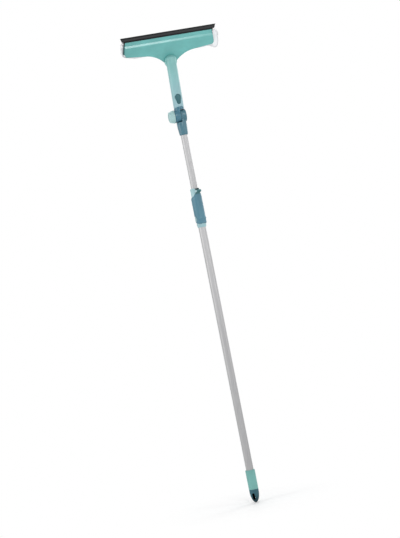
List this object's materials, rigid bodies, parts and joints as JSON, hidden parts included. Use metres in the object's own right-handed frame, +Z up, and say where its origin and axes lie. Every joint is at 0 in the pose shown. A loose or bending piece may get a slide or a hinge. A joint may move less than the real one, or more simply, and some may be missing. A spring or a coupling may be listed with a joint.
{
  "type": "window cleaning squeegee",
  "caption": "Window squeegee on a telescopic pole: rubber blade with a microfibre pad behind it, tilting head with a hand knob, lever clamp and a hanging slot in the end cap.",
  "frame": {"origin": "on the pole's axis, at the middle of the grip sleeve", "axes": "+Z up the pole to the head, X along the blade, and the head's front looks along -Y"},
  "size_m": [0.3338, 0.0889, 1.5616],
  "materials": {
    "tube_metal": "satin anodised",
    "grip_teal": "satin",
    "cap_blue": "satin",
    "clamp_pale": "satin",
    "lever_blue": "satin",
    "joint_blue": "satin",
    "knob_pale": "satin",
    "stem_teal": "satin",
    "shell_teal": "satin",
    "carrier_teal": "matt",
    "button_teal": "satin",
    "nylon": "matt",
    "steel": "plain",
    "washer_rubber": "matt",
    "blade_rubber": "matt",
    "channel_black": "matt black",
    "hook_grey": "hook tape",
    "foam": "open-cell foam",
    "microfibre": "looped pile"
  },
  "bodies": {
    "lower_pole": {"outer_tube": "tube_metal", "grip_sleeve": "grip_teal", "end_cap": "cap_blue", "clamp_housing": "clamp_pale", "housing_rivets": "steel", "lever_pin": "steel", "pole_bush": "nylon"},
    "clamp_lever": {"clamp_lever": "lever_blue"},
    "brake_shoe": {"brake_shoe": "channel_black"},
    "tube_slide": {"guide_bush": "nylon"},
    "upper_pole": {"inner_tube": "tube_metal", "tube_socket": "joint_blue", "socket_screw": "steel", "tilt_nut": "steel", "friction_washer": "washer_rubber"},
    "tilt_knob": {"tilt_knob": "knob_pale", "knob_bolt": "steel", "knob_washer": "steel"},
    "head": {"tilt_yoke": "joint_blue", "stem": "stem_teal", "head_shell": "shell_teal", "pad_carrier": "carrier_teal", "carrier_screws": "steel", "stem_screws": "steel", "blade_channel": "channel_black", "channel_caps": "channel_black", "rubber_blade": "blade_rubber", "hook_strips": "hook_grey", "foam_core": "foam", "microfibre_cover": "microfibre", "button_spring": "steel"},
    "release_button": {"release_button": "button_teal"}
  },
  "joints": [
    {"name": "clamp_lever_hinge", "type": "hinge", "parent": "lower_pole", "child": "clamp_lever", "pos_m": [0.00689, -0.01663, 0.962], "axis": [-0.9239, -0.3827, 0], "range_deg": [0, 110]},
    {"name": "brake_shoe_slide", "type": "slide", "parent": "lower_pole", "child": "brake_shoe", "axis": [0.3827, -0.9239, 0], "range_m": [0, 0.0004]},
    {"name": "telescope_slide", "type": "slide", "parent": "lower_pole", "child": "tube_slide", "axis": [0, 0, 1], "range_m": [-0.165, 0.64]},
    {"name": "upper_pole_turn", "type": "hinge", "parent": "tube_slide", "child": "upper_pole", "pos_m": [0, 0, 0.18], "axis": [0, 0, 1], "continuous": true},
    {"name": "tilt_knob_turn", "type": "hinge", "parent": "upper_pole", "child": "tilt_knob", "pos_m": [0, 0, 1.215], "axis": [-1, 0, 0], "range_deg": [0, 360]},
    {"name": "head_tilt", "type": "hinge", "parent": "upper_pole", "child": "head", "pos_m": [0, 0, 1.215], "axis": [1, 0, 0], "range_deg": [-98, 82]},
    {"name": "release_button_press", "type": "slide", "parent": "head", "child": "release_button", "axis": [0, 0.9903, 0.1392], "range_m": [0, 0.0045], "stiffness_N_per_m": 900, "springref_m": -0.004, "deforming": ["button_spring"]}
  ],
  "couplings": [
    {"joint": "brake_shoe_slide", "follows": "clamp_lever_hinge", "m_per_rad": 0.00020835}
  ]
}
